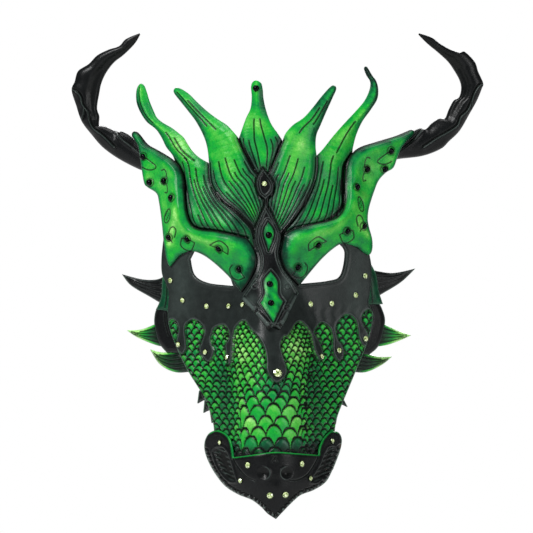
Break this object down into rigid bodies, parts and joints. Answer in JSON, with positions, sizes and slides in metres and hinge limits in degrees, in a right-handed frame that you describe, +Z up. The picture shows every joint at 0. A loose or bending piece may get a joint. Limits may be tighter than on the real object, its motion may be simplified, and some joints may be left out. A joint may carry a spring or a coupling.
{
  "type": "dragon mask",
  "caption": "Moulded leather dragon mask with carved face, brows, crest blades, horns and cheek spikes, worn with a buckled head strap.",
  "frame": {"origin": "on the nose bridge at the height of the eye holes, where the wearer's face holds the mask", "axes": "+Z up the face, -Y the way the mask looks, +X to the right as seen from the front"},
  "size_m": [0.2902, 0.128, 0.3426],
  "materials": {
    "green_leather": "carved, painted green with black antiquing in the grooves, semi-gloss",
    "black_leather": "black, satin",
    "horn_leather": "black, satin, creased",
    "strap_leather": "black, plain, burnished edges",
    "stud_metal": "black, gloss",
    "crystal": "faceted, pale green-yellow",
    "buckle_metal": "plain nickel"
  },
  "bodies": {
    "mask": {"face_shell": "green_leather", "left_brow": "green_leather", "right_brow": "green_leather", "crest_blade_1": "green_leather", "crest_blade_2": "green_leather", "crest_blade_3": "green_leather", "crest_blade_4": "green_leather", "crest_blade_5": "green_leather", "upper_inset": "green_leather", "lower_inset": "green_leather", "left_cheek_strip": "green_leather", "right_cheek_strip": "green_leather", "nose_ornament": "black_leather", "snout_plate": "black_leather", "left_cheek_flap": "black_leather", "right_cheek_flap": "black_leather", "left_jaw_spines": "black_leather", "right_jaw_spines": "black_leather", "left_spike_1": "black_leather", "left_spike_2": "black_leather", "left_spike_3": "black_leather", "right_spike_1": "black_leather", "right_spike_2": "black_leather", "right_spike_3": "black_leather", "left_horn": "horn_leather", "right_horn": "horn_leather", "left_strap_anchor": "strap_leather", "right_strap_anchor": "strap_leather", "left_brow_stud_1": "stud_metal", "left_brow_stud_2": "stud_metal", "left_brow_stud_3": "stud_metal", "left_brow_stud_4": "stud_metal", "left_brow_stud_5": "stud_metal", "left_brow_stud_6": "stud_metal", "left_brow_stud_7": "stud_metal", "left_brow_stud_8": "stud_metal", "right_brow_stud_1": "stud_metal", "right_brow_stud_2": "stud_metal", "right_brow_stud_3": "stud_metal", "right_brow_stud_4": "stud_metal", "right_brow_stud_5": "stud_metal", "right_brow_stud_6": "stud_metal", "right_brow_stud_7": "stud_metal", "right_brow_stud_8": "stud_metal", "left_strap_rivet": "stud_metal", "right_strap_rivet": "stud_metal", "snout_crystal_1": "crystal", "snout_crystal_2": "crystal", "snout_crystal_3": "crystal", "snout_crystal_4": "crystal", "snout_crystal_5": "crystal", "snout_crystal_6": "crystal", "snout_crystal_7": "crystal", "snout_crystal_8": "crystal", "almond_crystal": "crystal"},
    "head_strap": {"left_strap": "strap_leather", "right_strap": "strap_leather", "buckle_frame": "buckle_metal", "strap_keeper": "strap_leather"},
    "prong": {"buckle_prong": "buckle_metal"}
  },
  "joints": [
    {"name": "strap_swing", "type": "hinge", "parent": "mask", "child": "head_strap", "pos_m": [0, 0.046, 0.014], "axis": [1, 0, 0], "range_deg": [0, 105]},
    {"name": "prong_lift", "type": "hinge", "parent": "head_strap", "child": "prong", "pos_m": [0.011, 0.046, -0.092], "axis": [0, -1, 0], "range_deg": [0, 35]}
  ]
}
